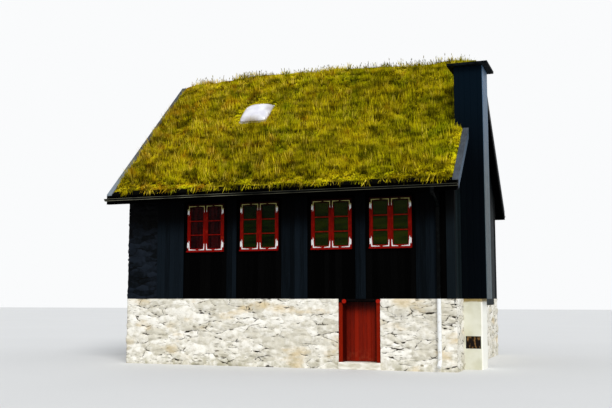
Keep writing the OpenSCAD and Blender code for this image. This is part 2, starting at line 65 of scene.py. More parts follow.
eye = bpy.data.cameras.new("camera")
eye.lens = 51.0
eye.sensor_width = 36.0
eye.clip_end = 300.0
camera = linked("camera", eye)
camera.location = CAMERA_PLACE
camera.rotation_euler = [math.radians(a) for a in CAMERA_TURN]
bpy.context.scene.camera = camera
bpy.context.scene.view_settings.view_transform = "Standard"

sun_data = bpy.data.lights.new("sun", "SUN")
sun_data.energy = SUN_LIGHT
sun_data.angle = math.radians(25)
sun = linked("sun", sun_data)
sun.rotation_euler = [math.radians(a) for a in SUN_TURN]


def rgb(code):
    """A colour written #rrggbb, as the linear values that a node takes."""
    parts = [int(code[k:k + 2], 16) / 255 for k in (1, 3, 5)]
    return tuple(p / 12.92 if p <= 0.04045 else ((p + 0.055) / 1.055) ** 2.4 for p in parts) + (1.0,)


class Field:
    """A socket in a node tree. Arithmetic on it adds Math nodes to that tree."""

    def __init__(self, tree, socket=None):
        self.tree = tree
        self.socket = socket

    def node(self, kind, inputs=(), out=0, **settings):
        """Adds a node: first its settings, then the values or links of its sockets."""
        made = self.tree.nodes.new(kind)
        for name, value in settings.items():
            setattr(made, name, value)
        for key, value in dict(inputs).items():
            if isinstance(value, Field):
                self.tree.links.new(value.socket, made.inputs[key])
            else:
                made.inputs[key].default_value = value
        return Field(self.tree, made.outputs[out] if made.outputs else None)

    def output(self, name):
        """Another output of the node that this value comes from."""
        return Field(self.tree, self.socket.node.outputs[name])

    def math(self, operation, *values):
        return self.node("ShaderNodeMath", enumerate(values), operation=operation)

    def __add__(self, other):
        return self.math("ADD", self, other)

    def __sub__(self, other):
        return self.math("SUBTRACT", self, other)

    def __rsub__(self, other):
        return self.math("SUBTRACT", other, self)

    def __mul__(self, other):
        return self.math("MULTIPLY", self, other)

    def __truediv__(self, other):
        return self.math("DIVIDE", self, other)

    def __rtruediv__(self, other):
        return self.math("DIVIDE", other, self)

    def __gt__(self, other):
        return self.math("GREATER_THAN", self, other)

    def __lt__(self, other):
        return self.math("LESS_THAN", self, other)

    def __abs__(self):
        return self.math("ABSOLUTE", self)

    __radd__ = __add__
    __rmul__ = __mul__

    def vector(self, operation, *values):
        """Vector Math on this vector and the others."""
        return self.node("ShaderNodeVectorMath", enumerate((self, *values)), operation=operation)

    def times(self, amount):
        """This vector, made longer or shorter by a number."""
        return self.node("ShaderNodeVectorMath", {0: self, "Scale": amount}, operation="SCALE")

    def part(self, axis):
        """One of the three numbers of this vector or colour."""
        return self.node("ShaderNodeSeparateXYZ", {0: self}, out=axis)

    x = property(lambda self: self.part(0))
    y = property(lambda self: self.part(1))
    z = property(lambda self: self.part(2))

    def point(self, x=0.0, y=0.0, z=0.0):
        """A vector of three numbers."""
        return self.node("ShaderNodeCombineXYZ", {0: x, 1: y, 2: z})

    def moved(self, **to):
        """This geometry with its points moved to a Position or by an Offset."""
        return self.node("GeometryNodeSetPosition", {"Geometry": self, **to})

    def ramp(self, low, high, start=0.0, end=1.0):
        """This value eased from one range to another and held at its ends."""
        return self.node("ShaderNodeMapRange", {0: self, 1: low, 2: high, 3: start, 4: end},
                         interpolation_type="SMOOTHSTEP")

    def mix(self, low, high):
        """Two colours mixed by this value."""
        return self.node("ShaderNodeMix", {0: self, 6: low, 7: high}, out=2, data_type="RGBA")

    def noise(self, size, detail=3.0, out=0):
        """Cloudy noise at this place, whose patches measure about size."""
        return self.node("ShaderNodeTexNoise", {"Vector": self, "Scale": 1 / size, "Detail": detail}, out)

    def streaks(self, per_metre, detail=3.0):
        """Noise with so many patches to a metre along each axis."""
        return self.vector("MULTIPLY", per_metre).noise(1.0, detail)

    def stored(self, name, out="Fac"):
        """The value that the mesh carries under a name, for a material."""
        return self.node("ShaderNodeAttribute", out=out, attribute_name=name)

    def carried(self, name, kind="FLOAT"):
        """The value that the mesh carries under a name, for a Geometry Nodes tree."""
        return self.node("GeometryNodeInputNamedAttribute", {"Name": name}, data_type=kind)

    def chance(self, low, high, seed):
        """A random number from low to high for each point or face."""
        return self.node("FunctionNodeRandomValue", {2: low, 3: high, "Seed": seed}, out=1)

    def bump(self, distance, strength=1.0):
        """A normal from this height."""
        return self.node("ShaderNodeBump", {"Height": self, "Distance": distance, "Strength": strength})


def surface(name, shine=0.5, **constants):
    """A Principled material with its constant sockets set, and the place on the object as a Field."""
    made = bpy.data.materials.new(name)
    made.use_nodes = True
    shader = made.node_tree.nodes["Principled BSDF"]
    shader.inputs["Specular IOR Level"].default_value = shine
    for key, value in constants.items():
        shader.inputs[key.replace("_", " ")].default_value = value
    return made, Field(made.node_tree).node("ShaderNodeTexCoord", out="Object")


def drive(made, **fields):
    """Links what changes over a surface to the sockets of its shader."""
    shader = made.node_tree.nodes["Principled BSDF"]
    for key, field in fields.items():
        made.node_tree.links.new(field.socket, shader.inputs[key.replace("_", " ")])


sky = bpy.data.worlds.new("sky")
bpy.context.scene.world = sky
sky.use_nodes = True
sky.node_tree.nodes.clear()
path = Field(sky.node_tree).node("ShaderNodeLightPath")
seen = path.math("MAXIMUM", path, path.output("Is Glossy Ray"))
seen = seen.math("MAXIMUM", seen, path.output("Is Transmission Ray"))
lighting = seen.node("ShaderNodeBackground", {"Color": rgb("#f4f8ff"), "Strength": SKY_LIGHT})
backdrop = seen.node("ShaderNodeBackground", {"Color": rgb("#fafbfc"), "Strength": 1.0})
both = seen.node("ShaderNodeMixShader", {0: seen, 1: lighting, 2: backdrop})
both.node("ShaderNodeOutputWorld", {"Surface": both})

floor_mesh = bpy.data.meshes.new("floor")
reach = 120.0
floor_mesh.from_pydata([(-reach, -reach, 0), (reach, -reach, 0), (reach, reach, 0), (-reach, reach, 0)],
                       [], [(0, 1, 2, 3)])
floor = linked("floor", floor_mesh)
floor_paint, at = surface("floor_paint", Roughness=0.9, shine=0.1)
drive(floor_paint, Base_Color=at.noise(6.0).mix(rgb("#dcdcda"), rgb("#e2e2e0")))
floor_mesh.materials.append(floor_paint)

# BASEMENT
# Rubble walls, laid without courses and whitewashed so often that each stone is a soft hump
# and only the deepest joints still show as dark cracks.

WHITE_STONE = (0.46, 0.46, 0.20)
WALL_GRID = 0.034


def stones(at, size):
    """Rubble at a place: the hump of a stone, its open bed joints, and a number for each stone."""
    bent = at.vector("ADD", at.noise(0.4, 2.0, out=1).vector("MULTIPLY", (0.34, 0.34, 0.12)))
    place = bent.vector("DIVIDE", size)
    edge = place.node("ShaderNodeTexVoronoi", {"Vector": place, "Scale": 1.0}, feature="DISTANCE_TO_EDGE")
    stone = place.node("ShaderNodeTexVoronoi", {"Vector": place, "Scale": 1.0}, out="Color").part(0)
    deep = at.streaks((2.4, 2.4, 4.6)).ramp(0.47, 0.68, 0.0, 0.20)
    under = place.vector("ADD", place.point(z=deep))
    under = under.node("ShaderNodeTexVoronoi", {"Vector": under, "Scale": 1.0}, out="Color").part(0) - stone
    return edge.ramp(0.0, 0.30), abs(under).ramp(0.0, 0.02), stone


def geometry_tree(name, **inputs):
    """A Geometry Nodes tree with inputs named under their kind, and those inputs as Fields."""
    tree = bpy.data.node_groups.new(name, "GeometryNodeTree")
    tree.interface.new_socket("Geometry", in_out="INPUT", socket_type="NodeSocketGeometry")
    for kind, names in inputs.items():
        for item in names.split(", "):
            tree.interface.new_socket(item, in_out="INPUT", socket_type="NodeSocket" + kind)
    tree.interface.new_socket("Geometry", in_out="OUTPUT", socket_type="NodeSocketGeometry")
    start = tree.nodes.new("NodeGroupInput")
    return tree, {socket.name: Field(tree, socket) for socket in start.outputs if socket.name}


def end_tree(shape, finish):
    """Ends a tree: instances made real, with their material."""
    real = shape.node("GeometryNodeRealizeInstances", {0: shape})
    done = real.node("GeometryNodeSetMaterial", {"Geometry": real, "Material": finish})
    done.node("NodeGroupOutput", {0: done})


def kept(shape, name, value, domain="POINT", kind="FLOAT"):
    """The shape with a value stored on it under a name."""
    return shape.node("GeometryNodeStoreNamedAttribute",
                      {"Geometry": shape, "Name": name, "Value": value}, domain=domain, data_type=kind)


def settled(piece):
    """The piece with its modifiers turned into plain mesh."""
    now = bpy.context.evaluated_depsgraph_get()
    shape = bpy.data.meshes.new_from_object(piece.evaluated_get(now), preserve_all_data_layers=True,
                                            depsgraph=now)
    for k in reversed(range(len(shape.materials))):
        if not shape.materials[k]:
            shape.materials.pop(index=k)
    piece.modifiers.clear()
    piece.data = shape
    return piece


def grown(name, tree, mesh, sizes):
    """A plain piece made by running a tree on a mesh."""
    piece = linked(name, mesh)
    rule = piece.modifiers.new("rule", "NODES")
    rule.node_group = tree
    for item in tree.interface.items_tree:
        if item.name in sizes:
            value = sizes[item.name]
            rule[item.identifier] = float(value) if item.socket_type == "NodeSocketFloat" else value
    return settled(piece)


def merged(node):
    """A CAD node's mesh with its loose triangles joined into closed flat faces."""
    mesh = bmesh.new()
    mesh.from_mesh(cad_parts[node].data)
    bmesh.ops.remove_doubles(mesh, verts=mesh.verts, dist=2e-5)
    bmesh.ops.dissolve_limit(mesh, angle_limit=0.01, verts=mesh.verts, edges=mesh.edges)
    return mesh


def painted(data, finish):
    """Gives a mesh one material and no other."""
    data.materials.clear()
    data.materials.append(finish)


def plain_mesh(name, mesh):
    """A bmesh turned into mesh data."""
    data = bpy.data.meshes.new(name)
    mesh.to_mesh(data)
    mesh.free()
    return data


def gridded(node, is_outer, step, axes=(0, 1, 2)):
    """A CAD node as one closed mesh, its outer faces cut into a grid and marked with the way out."""
    mesh = merged(node)
    for face in mesh.faces:
        face.smooth = is_outer(face.normal)
    for axis in axes:
        across = Vector((axis == 0, axis == 1, axis == 2))
        places = [v.co[axis] for v in mesh.verts]
        low, high = min(places), max(places)
        count = max(1, round((high - low) / step))
        for k in range(1, count):
            outer = [f for f in mesh.faces if f.smooth]
            bmesh.ops.bisect_plane(mesh, geom=outer + mesh.edges[:] + mesh.verts[:], dist=1e-6,
                                   plane_co=across * (low + (high - low) * k / count), plane_no=across)
    outer = mesh.faces.layers.float.new("outer")
    for face in mesh.faces:
        face[outer] = float(face.smooth)
    way_out = mesh.verts.layers.float_vector.new("outward")
    for vert in mesh.verts:
        total = sum((f.normal for f in vert.link_faces if f.smooth), Vector())
        vert[way_out] = total.normalized() if total.length > 0.01 else total
    for edge in mesh.edges:
        edge.smooth = len({f.smooth for f in edge.link_faces}) == 1
    return plain_mesh(node, mesh)


rubble, given = geometry_tree("rubble", Vector="Stone", Float="Relief, Joint", Material="Finish")
at = given["Geometry"].node("GeometryNodeInputPosition")
way_out = at.carried("outward", "FLOAT_VECTOR")
hump, joint, stone = stones(at, given["Stone"])
rise = hump * (0.3 + 0.7 * stone) * given["Relief"] - joint * given["Joint"]
rise = rise + (at.streaks((9.0, 9.0, 16.0)) - 0.5) * 0.9 * given["Relief"]
shape = kept(given["Geometry"], "rest", at, kind="FLOAT_VECTOR")
shape = shape.moved(Offset=way_out.times(rise))
end_tree(shape, given["Finish"])

whitewash, at = surface("whitewash", shine=0.1)
rest = at.stored("rest", "Vector")
hump, joint, stone = stones(rest, WHITE_STONE)
foot = 1.0 - at.z.ramp(0.02, 0.42)
head = at.z.ramp(1.25, 1.68)
stain = rest.streaks((1.1, 1.1, 2.4), 5.0)
fleck = rest.streaks((5.0, 5.0, 12.0), 5.0).ramp(0.52, 0.70)
lime = (rest.noise(0.10, 4.0) * 0.7 + stone * 0.3).ramp(0.3, 0.7).mix(rgb("#fdf9ee"), rgb("#d6d0be"))
# Painted shade: a grey ring round each stone, short grey flecks and small dark pits stand for the shadows
# at the stones' rims and under their edges.
lime = hump.ramp(0.0, 0.35, 0.12, 0.0).mix(lime, rgb("#b0aa96"))
lime = (fleck * 0.50).mix(lime, rgb("#a8a08a"))
pits = rest.streaks((6.0, 6.0, 27.0), 4.0).ramp(0.60, 0.66)
pits = pits * rest.noise(0.55).ramp(0.40, 0.60, 0.10, 1.0)
lime = (pits * 0.85).mix(lime, rgb("#625947"))
lime = (stain + head * 0.05).ramp(0.55, 0.72, 0.0, 0.55).mix(lime, rgb("#d6b878"))
lime = (foot * rest.noise(0.2).ramp(0.35, 0.7) * 0.5).mix(lime, rgb("#9a946f"))
open_joint = joint * rest.vector("MULTIPLY", (1, 1, 1.8)).noise(0.12).ramp(0.42, 0.58, 0.16, 1.0)
lime = open_joint.mix(lime, rgb("#2b2216"))
grit = rest.noise(0.03, 4.0) * 0.5 + hump * 0.3 + rest.noise(0.12) * 0.5
drive(whitewash, Base_Color=lime, Roughness=rest.noise(0.1).ramp(0.3, 0.7, 0.72, 0.92),
      Normal=grit.bump(0.014, 0.8))

SIDES = {"basement_left": "-x -y +y", "basement_front_left": "-y", "basement_front_right": "-y +x",
         "basement_rear": "+y +x", "basement_right": "+x"}


def facing(sides):
    """A test for normals that look out of the named sides."""
    ways = [Vector([(1 if side[0] == "+" else -1) * (side[1] == axis) for axis in "xyz"])
            for side in sides.split()]
    return lambda normal: any(normal.dot(way) > 0.99 for way in ways)


def root_piece(piece, slot, *nodes):
    """A piece that belongs to the house itself, in place of CAD nodes. Its slot is not used."""
    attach(piece, "root")
    if nodes:
        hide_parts(*nodes)
    return piece


for node, sides in SIDES.items():
    wall = grown(node + "_stones", rubble, gridded(node, facing(sides), WALL_GRID),
                 {"Stone": WHITE_STONE, "Relief": 0.028, "Joint": 0.022, "Finish": whitewash})
    root_piece(wall, "whitewashed_stone", node)

# STONE GABLE
# The left end of the storey is one thick rubble wall, laid like the basement and painted black.
# The tops of its front and rear faces are painted darker to black, as painted shade of the eaves.

BLACK_STONE = (0.34, 0.34, 0.13)
GABLE_GRID = 0.05
black_paint, at = surface("black_stone_paint", shine=0.03)
rest = at.stored("rest", "Vector")
hump, joint, stone = stones(rest, BLACK_STONE)
black = (rest.noise(0.12, 4.0) * 0.6 + stone * 0.4).ramp(0.3, 0.7).mix(rgb("#05080b"), rgb("#161c24"))
black = joint.mix(black, rgb("#020202"))
face_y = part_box("stone_gable")[1].y
eave_shadow = at.z.ramp(2.9, 3.9) * abs(rest.y).ramp(face_y - 0.10, face_y - 0.02)
black = (eave_shadow * 0.9).mix(black, rgb("#000000"))
drive(black_paint, Base_Color=black, Roughness=rest.noise(0.05).ramp(0.3, 0.7, 0.45, 0.75),
      Normal=(rest.noise(0.035, 4.0) * 0.5 + hump * 0.5).bump(0.014, 0.8))
stone_end = grown("stone_gable_stones", rubble, gridded("stone_gable", facing("-x -y +y"), GABLE_GRID),
                  {"Stone": BLACK_STONE, "Relief": 0.024, "Joint": 0.012, "Finish": black_paint})
root_piece(stone_end, "tarred_stone", "stone_gable")

# TARRED BOARDS
# Upright softwood boards nailed edge to edge, tarred black, with a V at each joint.
# The strips between the windows stand in front of the bays that hold them.

BOARD_THICK = 0.020
BOARD_IN = 0.008
V_JOINT = 0.0045
STRIP_BOARD, BAY_BOARD, GABLE_BOARD = 0.125, 0.155, 0.14
GABLE_FOOT = 0.02
SLOPE = math.tan(math.radians(43.1))
peak_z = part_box("right_gable")[1].z

boards, given = geometry_tree(
    "boards", Float="Run, Board, Uneven, Thickness, Foot, Head, Ridge place, Ridge height, Slope",
    Int="Seed", Material="Finish")
count = given["Run"] / given["Board"] + 0.5
line = count.node("GeometryNodeMeshLine", {"Count": count.math("MAXIMUM", count, 1.0), "Offset": (0, 0, 0)})
share = count.chance(1.0 - given["Uneven"], 1.0 + given["Uneven"], given["Seed"])
before = share.node("GeometryNodeAccumulateField", {0: share}, out="Trailing")
width = share / before.output("Total") * given["Run"]
start = before / before.output("Total") * given["Run"]
line = line.moved(Position=start.point(x=start))
line = kept(line, "wide", width)
cube = line.node("GeometryNodeMeshCube", {"Size": (1, 1, 1)})
cube = cube.node("GeometryNodeTransform", {"Geometry": cube, "Translation": (0.5, -0.5, 0.5)})
wide = line.carried("wide")
proud = line.chance(0.88, 1.0, given["Seed"] + 7.0)
size = line.point(wide, given["Thickness"] * proud, 1.0)
run = line.node("GeometryNodeInstanceOnPoints", {"Points": line, "Instance": cube, "Scale": size})
tone = line.chance(0.0, 1.0, given["Seed"] + 3.0)
run = kept(run, "tone", tone, domain="INSTANCE")
run = run.node("GeometryNodeRealizeInstances", {0: run})
at = run.node("GeometryNodeInputPosition")
from_ridge = at.x - given["Ridge place"]
under_roof = given["Ridge height"] - abs(from_ridge) * given["Slope"]
top = under_roof.math("MINIMUM", under_roof, given["Head"])
height = given["Foot"] + (top - given["Foot"]) * at.z
run = run.moved(Position=at.point(at.x, at.y, height))
end_tree(run, given["Finish"])


def tar(name, dark, light, rough, shine, top, rise):
    """Tarred wood, streaked down each board, which turns to a top colour over a range of heights."""
    made, at = surface(name, shine=shine)
    tone = at.stored("tone")
    streak = at.streaks((34, 34, 1.6), 4.0)
    grain = at.streaks((160, 160, 5.0))
    worn = (streak * 0.55 + tone * 0.45).ramp(0.25, 0.75)
    colour = at.z.ramp(*rise, 0.0, 0.9).mix(worn.mix(rgb(dark), rgb(light)), rgb(top))
    drive(made, Base_Color=colour, Roughness=grain.ramp(0.3, 0.7, rough, rough + 0.25),
          Normal=(grain * 0.7 + streak).bump(0.003, 0.6))
    return made


# Painted shade: the wall boards turn black towards the eaves, for the eaves' shadow.
UNDER_EAVE = (3.3, 3.9)
strip_tar = tar("strip_tar", "#04070a", "#0e151b", 0.50, 0.02, "#000000", UNDER_EAVE)
bay_tar = tar("bay_tar", "#010101", "#040404", 0.65, 0.01, "#000000", UNDER_EAVE)
# The gable's teal is a painted sky reflection, and its darkening up under the verge is painted shade.
gable_tar = tar("gable_tar", "#0b1214", "#182225", 0.45, 0.04, "#030506", (3.6, 5.0))
corner_tar = tar("corner_tar", "#0a1115", "#162129", 0.45, 0.04, "#000000", UNDER_EAVE)


def solids(node):
    """The separate solids of a CAD node, from left to right: lowest corner, highest corner and points."""
    mesh = merged(node)
    waiting = set(mesh.verts)
    found = []
    while waiting:
        reached = [waiting.pop()]
        group = []
        while reached:
            vert = reached.pop()
            group.append(vert.co.copy())
            for edge in vert.link_edges:
                other = edge.other_vert(vert)
                if other in waiting:
                    waiting.remove(other)
                    reached.append(other)
        corners = [Vector([pick(p[axis] for p in group) for axis in range(3)]) for pick in (min, max)]
        found.append((*corners, group))
    mesh.free()
    return sorted(found, key=lambda solid: solid[0].x)


def softened(piece, width, segments=1):
    """The piece with its sharp edges eased."""
    edge = piece.modifiers.new("edge", "BEVEL")
    edge.width = width
    edge.segments = segments
    edge.limit_method = "ANGLE"
    return settled(piece)


def board_run(finish, way, plane, low, high, foot, head, board, seed, slope=0.0):
    """Boards on the wall face that looks out to a side, from low to high along it."""
    turn = {"-y": 0, "+x": 90, "+y": 180, "-x": 270}[way]
    start = low if turn < 180 else -high
    piece = grown("boards", boards, bpy.data.meshes.new("boards"), {
        "Run": high - low, "Board": board, "Uneven": 0.22, "Thickness": BOARD_THICK, "Foot": foot,
        "Head": head, "Ridge place": -start, "Ridge height": peak_z, "Slope": slope, "Seed": seed,
        "Finish": finish})
    back = BOARD_IN - (plane if way[0] == "+" else -plane)
    piece.data.transform(Matrix.Rotation(math.radians(turn), 4, "Z") @ Matrix.Translation((start, back, 0)))
    return piece


def joined(name, pieces):
    """Several plain pieces as one."""
    with bpy.context.temp_override(active_object=pieces[0], selected_editable_objects=pieces):
        bpy.ops.object.join()
    pieces[0].name = name
    return pieces[0]


wall_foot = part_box("front_piers")[0].z
front_y, bay_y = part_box("front_piers")[0].y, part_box("front_aprons")[0].y
wall_head = peak_z - abs(front_y - BOARD_THICK) * SLOPE
for side, way, turned in (("front", "-y", 1), ("rear", "+y", -1)):
    strips, bays, edges = [], [], []
    for k, (_, _, points) in enumerate(solids(side + "_piers")):
        face = [p.x for p in points if abs(p.y - turned * front_y) < 0.001]
        edges += [min(face), max(face)]
        strips.append(board_run(strip_tar, way, turned * front_y, *edges[-2:], wall_foot, wall_head,
                                STRIP_BOARD, 11 + k))
    for k, (low, high, _) in enumerate(solids(side + "_window_frames")):
        left, right = edges[2 * k + 1:2 * k + 3]
        for seed, span in enumerate(((left, right, wall_foot, low.z), (left, right, high.z, wall_head),
                                     (left, low.x, low.z, high.z), (high.x, right, low.z, high.z))):
            bays.append(board_run(bay_tar, way, turned * bay_y, *span, BAY_BOARD, 31 + 10 * k + seed))
    bays.append(board_run(bay_tar, way, turned * bay_y, edges[-1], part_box("corner_boards")[0].x,
                          wall_foot, wall_head, BAY_BOARD, 29))
    root_piece(softened(joined(side + "_strip_boards", strips), V_JOINT), "tarred_boards")
    root_piece(softened(joined(side + "_bay_boards", bays), V_JOINT), "tarred_boards")

low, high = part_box("right_gable")
gable_boards = board_run(gable_tar, "+x", high.x, front_y, -front_y, low.z + GABLE_FOOT, peak_z,
                         GABLE_BOARD, 71, SLOPE)
root_piece(softened(gable_boards, V_JOINT), "tarred_boards").name = "right_gable_boards"


def dressed(finish, *nodes):
    """Gives a finish to CAD nodes that stay."""
    for node in nodes:
        painted(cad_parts[node].data, finish)


dressed(bay_tar, "front_piers", "front_aprons", "front_headers", "rear_piers", "rear_aprons",
        "rear_headers", "right_gable")

# CORNER, EAVE AND VERGE BOARDS
# Planed boards nailed over the ends of the walls and round the turf. Those that lie flat on the
# verges have lost their tar and weathered grey.


def planed(node, finish, width=0.005, body="root"):
    """A CAD node's own shape with its sharp edges eased, in a finish of its own."""
    piece = linked(node + "_finished", plain_mesh(node, merged(node)))
    painted(piece.data, finish)
    softened(piece, width, 2)
    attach(piece, body)
    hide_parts(node)


grey_wood, at = surface("weathered_wood", shine=0.3)
grain = at.streaks((60, 8, 8), 4.0)
patch = at.noise(0.35, 4.0)
grey = (grain * 0.5 + patch * 0.5).ramp(0.3, 0.7).mix(rgb("#272c33"), rgb("#515961"))
low_end = 1.0 - at.z.ramp(4.6, 6.0)
left_end = 1.0 - at.x.ramp(-1.0, 0.0)
grey = (low_end * left_end * 0.6).mix(grey, rgb("#8d99a3"))
drive(grey_wood, Base_Color=grey, Roughness=grain.ramp(0.3, 0.7, 0.6, 0.9), Normal=grain.bump(0.004, 0.6))
verge_paint, at = surface("verge_paint", shine=0.1)
grain = at.streaks((8, 8, 40), 4.0)
face_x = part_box("verge_right_boards")[1].x
outside = at.x.ramp(face_x - 0.004, face_x - 0.002)
low_end = at.y.ramp(front_y - 0.64, front_y - 0.63) * (1.0 - at.y.ramp(-2.6, -2.3))
black = grain.mix(rgb("#020202"), rgb("#07090b"))
# The lower front of the right verge board's outer face turns blue-grey: partly weathered wood and partly a
# painted sky reflection.
worn = (outside * low_end * 0.9).mix(black, grain.mix(rgb("#3b4a5c"), rgb("#62717f")))
drive(verge_paint, Base_Color=worn, Roughness=grain.ramp(0.3, 0.7, 0.5, 0.75),
      Normal=grain.bump(0.003, 0.5))
EDGE_BOARDS = {"corner_boards": corner_tar, "eave_board_front": bay_tar, "eave_board_rear": bay_tar,
               "verge_left_boards": verge_paint, "verge_right_boards": verge_paint}
for node, finish in EDGE_BOARDS.items():
    planed(node, finish)
for node in ("verge_left_caps", "verge_right_caps"):
    planed(node, grey_wood)
dressed(bay_tar, "roof_deck_front", "roof_deck_rear")

# WINDOWS
# Red casements of pine in a frame with a sill, three panes to a sash. White wrought irons with
# spear ends are screwed over the sash corners, and white pin hinges carry the outer stiles.

red_paint, at = surface("red_casement_paint", shine=0.03)
grain = at.streaks((50, 50, 6), 4.0)
worn = at.noise(0.09, 5.0).ramp(0.55, 0.75)
red = grain.ramp(0.3, 0.7).mix(rgb("#580300"), rgb("#7e0a02"))
red = (worn * 0.3).mix(red, rgb("#a8321a"))
# The doorway's posts have this paint too: redder in front, with painted shade in the reveal, and dark at
# the top.
TIMBER_OUT = 0.045
doorway = 1.0 - at.z.ramp(1.75, 1.8)
post_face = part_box("door_frame")[0].y + TIMBER_OUT
reveal_shade = at.y.ramp(post_face + 0.010, post_face + 0.040)
soffit = at.z.ramp(1.585, 1.625)
timber_end = 1.0 - at.y.ramp(post_face - 0.006, post_face)
red = (doorway * 0.4).mix(red, rgb("#8c2408"))
red = (doorway * reveal_shade * 0.75).mix(red, rgb("#140203"))
red = (doorway * soffit).mix(red, rgb("#060303"))
red = (doorway * timber_end).mix(red, rgb("#9c190b"))
sill_z, head_z = [corner.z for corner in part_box("front_window_frames")]
# Painted shade: the paint turns to near black towards the window heads, for the eaves' shadow.
red = at.z.ramp(head_z - 0.36, head_z - 0.08, 0.0, 0.95).mix(red, rgb("#080403"))
by_sill = at.z.ramp(1.8, 1.9) * (1.0 - at.z.ramp(sill_z + 0.09, sill_z + 0.30))
red = (by_sill * 0.6).mix(red, rgb("#840804"))
drive(red_paint, Base_Color=red, Roughness=grain.ramp(0.3, 0.7, 0.4, 0.62), Normal=grain.bump(0.002, 0.5))

# The panes' tints are painted reflections: the first window's panes are dark red, and those of the right
# pair paler than the second's.
glass, at = surface("old_window_glass", shine=0.03, Alpha=0.95)
ripple = at.streaks((1.2, 1.2, 9.0), 2.0)
streak = at.streaks((14.0, 14.0, 1.2), 2.0)
right_pair = at.x.ramp(0.4, 0.6, 0.0, 0.8)
first = 1.0 - at.x.ramp(-1.6, -1.4)
reflection_tint = ripple.ramp(0.35, 0.65).mix(rgb("#040c00"), rgb("#0f1d00"))
reflection_tint = right_pair.mix(reflection_tint, ripple.ramp(0.35, 0.65).mix(rgb("#101a01"), rgb("#212801")))
reflection_tint = first.mix(reflection_tint, streak.ramp(0.35, 0.65).mix(rgb("#100001"), rgb("#2c0405")))
drive(glass, Base_Color=reflection_tint, Roughness=ripple.ramp(0.3, 0.7, 0.04, 0.12), Normal=ripple.bump(0.002, 0.3))

iron_paint, at = surface("white_iron_paint", shine=0.4)
# Painted shade: the irons near the window heads turn dim olive, for the eaves' shadow.
upper = at.z.ramp(head_z - 0.20, head_z - 0.13)
chips = at.noise(0.02, 4.0).ramp(0.62, 0.72)
white = at.noise(0.05).mix(rgb("#eef1f0"), rgb("#d9dcda"))
white = (upper * 0.95).mix(white, rgb("#989240"))
white = (chips * 0.5).mix(white, rgb("#7a5a44"))
drive(iron_paint, Base_Color=white, Roughness=chips.ramp(0, 1, 0.4, 0.8), Normal=chips.bump(0.001, 0.4))

IRON_THICK = 0.004
PIN_RADIUS, PIN_HEIGHT, LEAF_WIDE = 0.008, 0.15, 0.012


def corner_iron(hand, rise, reach, wide):
    """An L of flat iron with spear ends, for a lower left corner (hand 1) or a lower right one (-1)."""
    up, along = [[(wide, wide), (far * 0.5, wide * 0.75), (far * 0.7, wide * 0.5),
                  (far * 0.78, wide * 0.7), (far, 0.003)] for far in (rise, reach)]
    outline = [(0, 0)] + [(x, 0) for x, w in along[1:-1]] + [(along[-1][0], along[-1][1] / 2)]
    outline += [(x, w) for x, w in reversed(along[:-1])]
    outline += [(w, z) for z, w in up[1:-1]] + [(up[-1][1] / 2, up[-1][0])]
    outline += [(0, z) for z, w in reversed(up[1:-1])]
    mesh = bmesh.new()
    face = mesh.faces.new([mesh.verts.new((hand * x, 0, z)) for x, z in outline])
    made = bmesh.ops.extrude_face_region(mesh, geom=[face])["geom"]
    bmesh.ops.translate(mesh, verts=[v for v in made if isinstance(v, bmesh.types.BMVert)],
                        vec=(0, -IRON_THICK, 0))
    for x, z in ((0.5 * wide, 0.5 * wide), (0.4 * wide, 0.5 * rise), (0.5 * reach, 0.4 * wide)):
        bmesh.ops.create_icosphere(mesh, subdivisions=1, radius=0.2 * wide,
                                   matrix=Matrix.Translation((hand * x, -IRON_THICK, z)))
    bmesh.ops.recalc_face_normals(mesh, faces=mesh.faces)
    return linked("corner_iron", plain_mesh("corner_iron", mesh))


def pin_hinge():
    """A pin hinge: the leaf on the frame, the leaf on the sash, and the knuckle between."""
    mesh = bmesh.new()
    bmesh.ops.create_cone(mesh, cap_ends=True, segments=12, radius1=PIN_RADIUS, radius2=PIN_RADIUS,
                          depth=PIN_HEIGHT)
    for x, height in ((-0.011, 0.13), (0.011, 0.11)):
        size = Matrix.Diagonal((LEAF_WIDE, IRON_THICK, height, 1))
        bmesh.ops.create_cube(mesh, size=1.0, matrix=Matrix.Translation((x, IRON_THICK, 0)) @ size)
    bmesh.ops.recalc_face_normals(mesh, faces=mesh.faces)
    return linked("pin_hinge", plain_mesh("pin_hinge", mesh))


fittings, given = geometry_tree("fittings", Object="Fitting", Material="Finish")
turn = given["Geometry"].carried("turn", "FLOAT_VECTOR")
shape = turn.node("GeometryNodeObjectInfo", {"Object": given["Fitting"]}, out="Geometry")
placed = turn.node("GeometryNodeInstanceOnPoints", {"Points": given["Geometry"], "Instance": shape,
                                                    "Rotation": turn})
end_tree(placed, given["Finish"])


def set_out(name, pattern, places, finish):
    """Copies of a pattern piece at (place, turn) pairs, as one piece. The pattern is used up."""
    points = bpy.data.meshes.new(name)
    points.from_pydata([place for place, turn in places], [], [])
    turns = points.attributes.new("turn", "FLOAT_VECTOR", "POINT")
    turns.data.foreach_set("vector", [a for place, turn in places for a in turn])
    piece = grown(name, fittings, points, {"Fitting": pattern, "Finish": finish})
    bpy.data.objects.remove(pattern)
    return piece


# How far the irons and the hinges sit from the edges of a sash, and the hinges from its face.
EDGE_IN, MEETING_IN, IRON_UP = 0.008, 0.028, 0.006
HINGE_SIDE, HINGE_PROUD, HINGE_LOW, HINGE_HIGH = 0.022, 0.006, 0.140, 0.150
